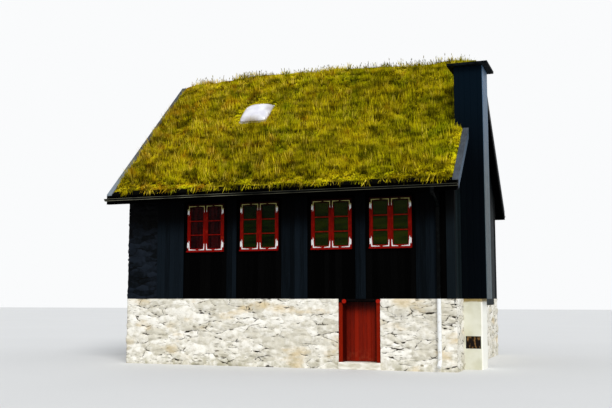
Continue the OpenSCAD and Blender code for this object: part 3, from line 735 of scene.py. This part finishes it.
# Rise, reach and width of an iron at a window's outer stile, then of one where its sashes meet.
BOTTOM_IRONS = ((0.260, 0.230, 0.026), (0.175, 0.172, 0.026))
TOP_IRONS = ((0.260, 0.240, 0.019), (0.175, 0.180, 0.019))
for side, about, out in (("front", 0.0, -1), ("rear", math.pi, 1)):
    places = {}
    hinges = []
    for k, (low, high, _) in enumerate(solids(side + "_sashes")):
        face_y = (low if out < 0 else high).y
        for x, hand, inner in ((low.x, 1, k % 2), (high.x, -1, 1 - k % 2)):
            x += hand * (MEETING_IN if inner else EDGE_IN)
            for ends, turned, z, about_y in ((BOTTOM_IRONS, -out, low.z + IRON_UP, 0.0),
                                             (TOP_IRONS, out, high.z - IRON_UP, math.pi)):
                kind = (turned * hand, ends[inner])
                places.setdefault(kind, []).append(((x, face_y, z), (0, about_y, about)))
            if not inner:
                hinges += [((x - hand * HINGE_SIDE, face_y + out * HINGE_PROUD, z), (0, 0, about))
                           for z in (low.z + HINGE_LOW, high.z - HINGE_HIGH)]
    irons = [set_out(side + "_irons", corner_iron(hand, *size), there, iron_paint)
             for (hand, size), there in places.items()]
    root_piece(joined(side + "_corner_irons", irons), "white_metal")
    root_piece(set_out(side + "_hinges", pin_hinge(), hinges, iron_paint), "white_metal")
    planed(side + "_window_frames", red_paint, 0.004)
    planed(side + "_sashes", red_paint, 0.003)
    dressed(glass, side + "_glass")

# CELLAR DOOR
# A leaf of upright boards on two iron straps, hung deep between red posts that stand on a white
# step. Two round ends of timber show at the doorway's top corners.

DOOR_BOARD = 0.10
door_red, at = surface("door_red", shine=0.08)
tone = at.stored("tone")
grain = at.streaks((60, 60, 4), 4.0)
low_wear = (1.0 - at.z.ramp(0.2, 0.6)) * at.noise(0.06, 4.0).ramp(0.45, 0.65)
red = (grain * 0.6 + tone * 0.4).ramp(0.25, 0.75).mix(rgb("#5c0d02"), rgb("#861802"))
red = (low_wear * 0.2).mix(red, rgb("#a04c30"))
# Painted shadow: the leaf darkens towards its top, under the door head.
red = at.z.ramp(1.33, 1.58, 0.0, 0.85).mix(red, rgb("#100202"))
drive(door_red, Base_Color=red, Roughness=grain.ramp(0.3, 0.7, 0.5, 0.75), Normal=grain.bump(0.003, 0.6))

low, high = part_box("cellar_door")
leaf = grown("cellar_door_boards", boards, bpy.data.meshes.new("leaf"), {
    "Run": high.x - low.x, "Board": DOOR_BOARD, "Uneven": 0.08, "Thickness": high.y - low.y,
    "Foot": low.z, "Head": high.z, "Ridge place": 0.0, "Ridge height": peak_z, "Slope": 0.0, "Seed": 5,
    "Finish": door_red})
leaf.data.transform(Matrix.Translation((low.x, high.y, 0)))
softened(leaf, width=0.006)
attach(leaf, "cellar_leaf")
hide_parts("cellar_door")
planed("door_frame", red_paint, 0.006)
step_lime, at = surface("step_limewash", shine=0.1)
cloud = at.streaks((3.0, 3.0, 9.0), 4.0)
drive(step_lime, Base_Color=cloud.ramp(0.35, 0.70).mix(rgb("#fbf8ee"), rgb("#cfc8b2")),
      Roughness=cloud.ramp(0.3, 0.7, 0.7, 0.9), Normal=at.noise(0.03, 4.0).bump(0.004, 0.7))
planed("door_step", step_lime, 0.012)

rust, at = surface("rusty_iron", Metallic=0.3, shine=0.3)
blotch = at.noise(0.05, 5.0)
drive(rust, Base_Color=blotch.ramp(0.35, 0.65).mix(rgb("#1d1410"), rgb("#5c3019")),
      Roughness=blotch.ramp(0.3, 0.7, 0.55, 0.9), Normal=at.noise(0.012).bump(0.002, 0.6))
planed("door_straps", rust, 0.001, "cellar_leaf")

# FLOORS
# Rough flags bedded on earth in the cellar, and pine boards nailed over the beams upstairs.
# Only the flags show, when the cellar door is open.

FLOOR_BOARD = 0.14
flags, at = surface("cellar_flags", Roughness=0.85)
edge = at.node("ShaderNodeTexVoronoi", {"Vector": at, "Scale": 1.6}, feature="DISTANCE_TO_EDGE")
edge = edge.ramp(0.01, 0.05)
drive(flags, Base_Color=edge.mix(rgb("#2d2a25"), rgb("#77736a")), Normal=edge.bump(0.01, 0.8))
dressed(flags, "cellar_floor")
pine, at = surface("pine_floor", Roughness=0.6)
across = at.y / FLOOR_BOARD
joint = across.math("FRACT", across).ramp(0.0, 0.05)
grain = at.streaks((2, 40, 40), 4.0)
board = grain.mix(rgb("#5c452b"), rgb("#8a6a44"))
drive(pine, Base_Color=joint.mix(rgb("#1d140c"), board), Normal=joint.bump(0.004))
dressed(pine, "upper_floor")

# GUTTERS AND DOWNPIPES
# Half-round gutters and round pipes of sheet metal, painted with the wall behind them. The
# gutters hang in front of the eave boards; their paint has worn pale along the rim, and a pale line
# lower down is a painted highlight on the belly.

pipe_black, at = surface("pipe_black", shine=0.03)
wear = at.noise(0.12, 4.0).ramp(0.5, 0.7)
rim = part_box("gutter_front")[1].z - 0.02
upper_line, lower_line = [
    at.z.ramp(low, low + 0.003) * (1.0 - at.z.ramp(low + 0.009, low + 0.012))
    for low in (rim - 0.010, rim - 0.060)]
worn_and_highlight = upper_line * 0.55 + lower_line * 0.75
worn_and_highlight = worn_and_highlight * at.streaks((0.7, 0.2, 0.2), 4.0).ramp(0.34, 0.60)
worn_and_highlight = worn_and_highlight * at.x.ramp(-2.0, 0.0, 1.0, 0.35)
black = wear.mix(rgb("#020303"), rgb("#090c0d"))
drive(pipe_black, Base_Color=worn_and_highlight.mix(black, rgb("#b4b296")), Roughness=wear.ramp(0, 1, 0.35, 0.6),
      Normal=wear.bump(0.001, 0.3))
pipe_white, at = surface("pipe_white", shine=0.4)
wear = at.noise(0.08, 4.0).ramp(0.5, 0.75)
drive(pipe_white, Base_Color=wear.mix(rgb("#eeefec"), rgb("#cfcbbd")), Roughness=wear.ramp(0, 1, 0.4, 0.7),
      Normal=wear.bump(0.001, 0.3))
dressed(pipe_black, "gutter_front", "gutter_rear", "downpipe_upper", "downpipe_rear")
dressed(pipe_white, "downpipe_lower")

# CHIMNEY
# A boarded shaft on a plastered stone base, under a thin cast slab. Its boards are tarred, and those
# on its right side are glossy and painted blue-grey, paler at the top, as a painted sky reflection.
# An iron soot hatch closes the base.

shaft_tar = tar("shaft_tar", "#010408", "#04080c", 0.45, 0.02, "#04101a", (4.5, 7.2))
sky_sheen_tar = tar("sky_sheen_tar", "#14272e", "#2b454e", 0.38, 0.35, "#3c5c7a", (4.0, 7.4))
SHAFT_BOARD = 0.13
low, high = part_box("chimney_shaft")
sides = (("-y", low.y, low.x, high.x, shaft_tar), ("+y", high.y, low.x, high.x, shaft_tar),
         ("-x", low.x, low.y, high.y, shaft_tar), ("+x", high.x, low.y, high.y, sky_sheen_tar))
runs = [board_run(finish, way, plane, start, end, low.z, high.z, SHAFT_BOARD, 81 + k)
        for k, (way, plane, start, end, finish) in enumerate(sides)]
root_piece(softened(joined("shaft_boards", runs), V_JOINT), "tarred_boards")
dressed(shaft_tar, "chimney_shaft")

slab_grey, at = surface("slab_grey", shine=0.02)
patch = at.noise(0.15, 4.0)
drive(slab_grey, Base_Color=patch.ramp(0.35, 0.65).mix(rgb("#06080a"), rgb("#12161a")),
      Roughness=patch.ramp(0.3, 0.7, 0.5, 0.8), Normal=patch.bump(0.006, 0.6))
planed("chimney_slab", slab_grey, 0.012)

plaster, at = surface("plaster", shine=0.25)
side_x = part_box("chimney_base")[1].x
rest = at.stored("rest", "Vector")
cloud = rest.noise(0.5, 5.0)
top_stain = (at.z + rest.noise(0.12) * 0.08).ramp(1.645, 1.70)
lime = cloud.ramp(0.35, 0.65).mix(rgb("#e0dfce"), rgb("#cfcdb6"))
# Painted light: the right face of the base is whiter than the front, as if lit.
lime = at.x.ramp(side_x - 0.03, side_x - 0.015).mix(lime, rgb("#fbf9ee"))
lime = (top_stain * 0.9).mix(lime, rgb("#8c7434"))
drive(plaster, Base_Color=lime, Roughness=cloud.ramp(0.3, 0.7, 0.7, 0.9),
      Normal=rest.noise(0.04, 4.0).bump(0.004, 0.6))
BASE_STONE = (0.7, 0.7, 0.6)
BASE_GRID = 0.06
base = grown("chimney_base_plaster", rubble, gridded("chimney_base", facing("-y +y +x"), BASE_GRID),
             {"Stone": BASE_STONE, "Relief": 0.010, "Joint": 0.0, "Finish": plaster})
root_piece(base, "whitewashed_stone", "chimney_base")

soot, at = surface("sooty_iron", shine=0.1)
blotch = at.streaks((14, 14, 6), 4.0)
drive(soot, Base_Color=blotch.ramp(0.50, 0.66).mix(rgb("#150d08"), rgb("#80603a")),
      Roughness=blotch.ramp(0.3, 0.7, 0.6, 0.9), Normal=blotch.bump(0.003, 0.6))
planed("soot_hatch", soot, 0.003)

# SKYLIGHT
# A blown dome of milky acrylic, clipped to a white kerb that stands out of the turf. Its foot is
# painted tan, a painted reflection of the grass, and its right side darker, as painted shade.

dome_white, at = surface("milky_acrylic", Transmission_Weight=0.15, Roughness=0.25)
low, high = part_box("skylight_dome")
milk = at.noise(0.25).ramp(0.3, 0.7).mix(rgb("#fbfafd"), rgb("#e4e2ec"))
foot = 1.0 - (at.z + at.noise(0.15) * 0.1).ramp(low.z + 0.08, low.z + 0.30)
middle = at.x.ramp(low.x + 0.10, low.x + 0.30) * (1.0 - at.x.ramp(high.x - 0.40, high.x - 0.15))
milk = (foot * middle * 0.65).mix(milk, rgb("#a8977a"))
side = at.x.ramp(high.x - 0.20, high.x - 0.08) * at.z.ramp(low.z + 0.30, low.z + 0.42)
drive(dome_white, Base_Color=(side * 0.45).mix(milk, rgb("#9d9184")))
kerb_white, at = surface("kerb_white", shine=0.4)
moss = at.noise(0.06, 4.0).ramp(0.5, 0.7)
drive(kerb_white, Base_Color=moss.mix(rgb("#dcded9"), rgb("#9b9a86")), Roughness=moss.ramp(0, 1, 0.5, 0.9),
      Normal=moss.bump(0.002, 0.4))
dome = linked("skylight_dome_acrylic", plain_mesh("dome", merged("skylight_dome")))
painted(dome.data, dome_white)
for face in dome.data.polygons:
    face.use_smooth = True
root_piece(dome, "dome_plastic", "skylight_dome")
planed("skylight_kerb", kerb_white, 0.004)

# TURF
# Sods laid on the boarding, grown together into one blanket that sinks and swells, with
# tussocks of long grass, straw and a few seed stalks on the ridge.

TURF_GRID = 0.085
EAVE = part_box("turf_rear")[1].y


def between(at, given, border):
    """1 between the left and right ends of a slope, eased to 0 over a border at each."""
    return at.x.ramp(given["Left"], given["Left"] + border) * (
        1.0 - at.x.ramp(given["Right"] - border, given["Right"]))


blanket, given = geometry_tree("blanket", Float="Clump, Rise, Swell, Left, Right", Material="Finish")
at = given["Geometry"].node("GeometryNodeInputPosition")
way_out = at.carried("outward", "FLOAT_VECTOR")
clump = at.vector("MULTIPLY", (1.0, 1.5, 1.8)).times(1.0 / given["Clump"]).noise(1.0)
rise = clump.ramp(0.25, 0.75) * 0.75 + at.noise(0.13) * 0.25 - 0.35
rise = rise * given["Rise"]
crest = abs(at.y).ramp(0.2, 1.5, 1.0, 0.0)
rise = rise + crest * at.x.ramp(-3.0, -2.2) * (1.0 - at.x.ramp(-0.8, 1.8)) * given["Swell"]
rise = rise * between(at, given, 0.12) * way_out.vector("LENGTH", way_out).output("Value")
end_tree(given["Geometry"].moved(Offset=at.point(z=rise)), given["Finish"])


def grass_colour(at, tone, tip):
    """The colour of grass: green hollows, ochre humps and straw, drier to the left; dark at the root,
    partly its own colour and partly painted shade; and painted shade in the dark hollows.
    """
    drier = at.x * -0.014
    patch = (at.noise(0.9, 4.0) + drier).ramp(0.31, 0.58)
    clump = at.vector("MULTIPLY", (1.0, 1.6, 2.2)).noise(0.30).ramp(0.34, 0.64)
    hollow_shade = 1.0 - at.vector("MULTIPLY", (1.0, 1.4, 2.4)).noise(0.50, 4.0).ramp(0.40, 0.52)
    lush = at.vector("ADD", (7.0, 0.0, 0.0)).noise(0.7).ramp(0.54, 0.66)
    rust = (at.vector("ADD", (0.0, 9.0, 0.0)).noise(0.4) + drier).ramp(0.56, 0.70)
    light = clump * 0.5 + tone * 0.5
    green = light.mix(rgb("#525800"), rgb("#e8e60c"))
    ochre = light.mix(rgb("#8c6200"), rgb("#ffea1c"))
    blade = (patch * 0.6 + tone * 0.4).mix(green, ochre)
    blade = (lush * 0.45).mix(blade, rgb("#4a7c00"))
    blade = (rust * 0.50).mix(blade, rgb("#b8680e"))
    blade = (tone + drier * 0.8).ramp(0.74, 0.94, 0.0, 0.85).mix(blade, rgb("#ffe052"))
    blade = tone.ramp(0.06, 0.22, 0.7, 0.0).mix(blade, rgb("#3c2e00"))
    blade = at.noise(1.8, 2.0).ramp(0.40, 0.56, 0.26, 0.0).mix(blade, rgb("#4c3400"))
    # Painted shade in the hollows between clumps.
    blade = (hollow_shade * (1.0 - tone * 0.4) * 0.85).mix(blade, rgb("#1e2200"))
    return tip.ramp(0.0, 0.6).mix(rgb("#241e00"), blade)


soil, at = surface("turf_mat", Roughness=0.95, shine=0.03)
fleck = at.streaks((30, 30, 9))
# The mat takes low tip values, so it keeps much of the dark root colour: painted shade in the gaps between
# tufts.
sod = grass_colour(at, fleck, fleck.ramp(0.3, 0.7, 0.15, 0.75))
cut_edge = abs(at.y).ramp(EAVE - 0.05, EAVE - 0.01)
drive(soil, Base_Color=cut_edge.mix(sod, rgb("#060604")), Normal=fleck.bump(0.03, 0.8))
grass, at = surface("grass", Roughness=0.8, shine=0.02)
tone = at.stored("tone")
shade = at.stored("shade")
tip = at.stored("tip")
drive(grass, Base_Color=grass_colour(at, tone * 0.8 + shade * 0.2, tip))

dice = random.Random(7)


def tussock(blades, spread, lean, thick, fall=0.0):
    """A tuft one unit high, of thin closed blades that arch away from its middle and may fall back down."""
    mesh = bmesh.new()
    tip = mesh.verts.layers.float.new("tip")
    shade = mesh.verts.layers.float.new("shade")
    for k in range(blades):
        way = 2 * math.pi * (k + dice.random()) / blades
        out = Vector((math.cos(way), math.sin(way), 0))
        side = Vector((-out.y, out.x, 0)) * thick * dice.uniform(0.7, 1.2) / 2
        foot = out * spread * dice.random()
        tall = dice.uniform(0.6, 1.0)
        bend = foot + out * (lean * 0.25 + thick * 0.3) + Vector((0, 0, tall * (0.6 - 0.4 * fall)))
        end = foot + out * lean * dice.uniform(0.6, 1.3) + Vector((0, 0, tall * (1 - 1.9 * fall)))
        corners = [(foot - side, 0.0), (foot + side, 0.0), (bend, 0.6), (end, 1.0)]
        verts = [mesh.verts.new(place) for place, share in corners]
        own = dice.random()
        for vert, (place, share) in zip(verts, corners):
            vert[tip] = share
            vert[shade] = own
        for a, b, c in ((0, 1, 2), (1, 3, 2), (3, 0, 2), (0, 3, 1)):
            mesh.faces.new((verts[a], verts[b], verts[c]))
    bmesh.ops.recalc_face_normals(mesh, faces=mesh.faces)
    return linked("tussock", plain_mesh("tussock", mesh))


def seed_stalk():
    """A stalk one unit high with a loose seed head."""
    mesh = bmesh.new()
    tip = mesh.verts.layers.float.new("tip")
    for low, high, wide in ((0.0, 0.8, 0.020), (0.66, 1.0, 0.042)):
        ends = [mesh.verts.new((0.05 * low, 0, low)), mesh.verts.new((0.05 * high, 0, high))]
        middle = (low + high) / 2
        belt = [mesh.verts.new((0.05 * middle + wide * math.cos(a), wide * math.sin(a), middle))
                for a in (0.0, 2.1, 4.2)]
        for vert in ends + belt:
            vert[tip] = 0.3
        for a, b in ((0, 1), (1, 2), (2, 0)):
            mesh.faces.new((ends[0], belt[b], belt[a]))
            mesh.faces.new((ends[1], belt[a], belt[b]))
    return linked("seed_stalk", plain_mesh("seed_stalk", mesh))


meadow, given = geometry_tree(
    "meadow", Object="Tuft", Vector="Downhill, Clear", Int="Seed", Material="Finish",
    Float="Density, Short, Tall, Ragged, Left, Right, From ridge, To eave, Overhang, Pale, Ceiling")
outer = given["Geometry"].carried("outer")
at = outer.node("GeometryNodeInputPosition")
thick = at.vector("MULTIPLY", (1.0, 1.6, 2.2)).noise(0.38)
from_ridge = abs(at.y)
in_band = (from_ridge > given["From ridge"]) * (from_ridge < given["To eave"])
between_caps = (at.x > given["Left"]) * (at.x < given["Right"] - 0.02)
points = at.node("GeometryNodeDistributePointsOnFaces", {
    "Mesh": given["Geometry"], "Selection": outer * in_band * between_caps,
    "Density": given["Density"] * thick.ramp(0.3, 0.6, 0.45, 1.3), "Seed": given["Seed"]})
wild = at.node("FunctionNodeRandomValue", {0: (-1, -1, -1), 1: (1, 1, 1), "Seed": given["Seed"] + 1.0},
               data_type="FLOAT_VECTOR")
upward = at.point(z=1.0).vector("ADD", given["Downhill"])
upward = upward.vector("ADD", wild.times(given["Ragged"]))
by_verge = 1.0 - at.x.ramp(given["Left"], given["Left"] + 0.3)
over = by_verge * from_ridge.ramp(0.8, 1.8) * given["Overhang"]
upward = upward.vector("ADD", over.point(x=over * -1.0))
upward = upward.vector("ADD", at.noise(0.4, 2.0, out=1).vector("SUBTRACT", (0.5, 0.5, 0.5)).times(0.6))
turn = at.node("FunctionNodeAlignRotationToVector", {"Vector": upward}, axis="Z")
spin = at.chance(0.0, 2 * math.pi, given["Seed"] + 2.0)
spin = spin.node("FunctionNodeAxisAngleToRotation", {"Axis": (0, 0, 1), "Angle": spin})
turn = turn.node("FunctionNodeRotateRotation", {"Rotation": turn, "Rotate By": spin},
                 rotation_space="LOCAL")
tall = at.chance(given["Short"], given["Tall"], given["Seed"] + 3.0)
tall = tall * thick.ramp(0.35, 0.64, 0.55, 1.25)
clearing = at.vector("DISTANCE", given["Clear"]).output("Value").ramp(0.50, 0.85, 0.25, 1.0)
tall = tall * between(at, given, 0.3).ramp(0.0, 1.0, 0.45, 1.0) * clearing
tall = tall.math("MINIMUM", tall, given["Ceiling"] - at.z)
tuft = at.node("GeometryNodeObjectInfo", {"Object": given["Tuft"]}, out="Geometry")
field = at.node("GeometryNodeInstanceOnPoints", {"Points": points, "Instance": tuft, "Rotation": turn,
                                                 "Scale": tall})
tone = at.chance(given["Pale"], 1.0, given["Seed"] + 4.0)
field = kept(field, "tone", tone, domain="INSTANCE")
end_tree(field, given["Finish"])

left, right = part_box("verge_left_caps")[1].x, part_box("verge_right_caps")[0].x
skylight = sum(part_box("skylight_dome"), Vector()) / 2
GRASS_TOP = 8.64
DROOP = 0.1
HANG = 0.5
THINNER_REAR = 0.40
# Each crop: what its tussock is made with (None for seed stalks), tufts to a square metre, least and
# greatest height, raggedness, how far from the ridge it starts and ends, the tone of its greenest tuft,
# and its lean out over the left verge.
CROPS = {
    "short": ((6, 0.50, 0.30, 0.110), 90, 0.09, 0.15, 0.20, 0.0, EAVE - 0.07, 0.0, HANG),
    "middle": ((6, 0.25, 0.16, 0.085), 100, 0.16, 0.27, 0.18, 0.25, EAVE - 0.1, 0.0, HANG),
    "long": ((5, 0.16, 0.13, 0.065), 115, 0.24, 0.41, 0.20, 0.8, EAVE - 0.14, 0.0, HANG),
    "fringe": ((8, 0.30, 0.75, 0.085, 1.3), 420, 0.08, 0.16, 0.20, EAVE - 0.12, EAVE - 0.004, 0.0, HANG),
    "ridge": ((6, 0.25, 0.20, 0.055), 120, 0.12, 0.20, 0.15, 0.0, 0.5, 0.3, HANG),
    "straws": (None, 6, 0.26, 0.40, 0.12, 2.4, EAVE - 0.3, 0.85, 0.0),
    "stalks": (None, 70, 0.18, 0.28, 0.15, 0.0, 0.35, 0.0, 0.0)}
for side, out in (("front", -1), ("rear", 1)):
    slope_mesh = gridded("turf_" + side, lambda n: n.z > 0.3 or n.y * out > 0.9, TURF_GRID, (0, 1))
    mat = grown("turf_" + side + "_mat", blanket, slope_mesh, {
        "Clump": 0.45, "Rise": 0.08, "Swell": 0.09, "Left": left, "Right": right, "Finish": soil})
    for k, (name, crop) in enumerate(CROPS.items()):
        blades, density, short, tall, ragged, start, end, pale, overhang = crop
        if side == "rear" and name in ("short", "middle", "long"):
            density *= THINNER_REAR
        plant = tussock(*blades) if blades else seed_stalk()
        piece = grown("grass_" + side + "_" + name, meadow, mat.data.copy(), {
            "Tuft": plant, "Density": density, "Short": short, "Tall": tall,
            "Downhill": (0.0, out * DROOP, -DROOP), "Ragged": ragged, "Left": left, "Right": right,
            "Clear": skylight, "From ridge": start, "To eave": end, "Overhang": overhang, "Pale": pale,
            "Ceiling": GRASS_TOP, "Seed": 20 + 7 * k + out, "Finish": grass})
        bpy.data.objects.remove(plant)
        root_piece(piece, "turf")
    root_piece(mat, "turf", "turf_" + side)
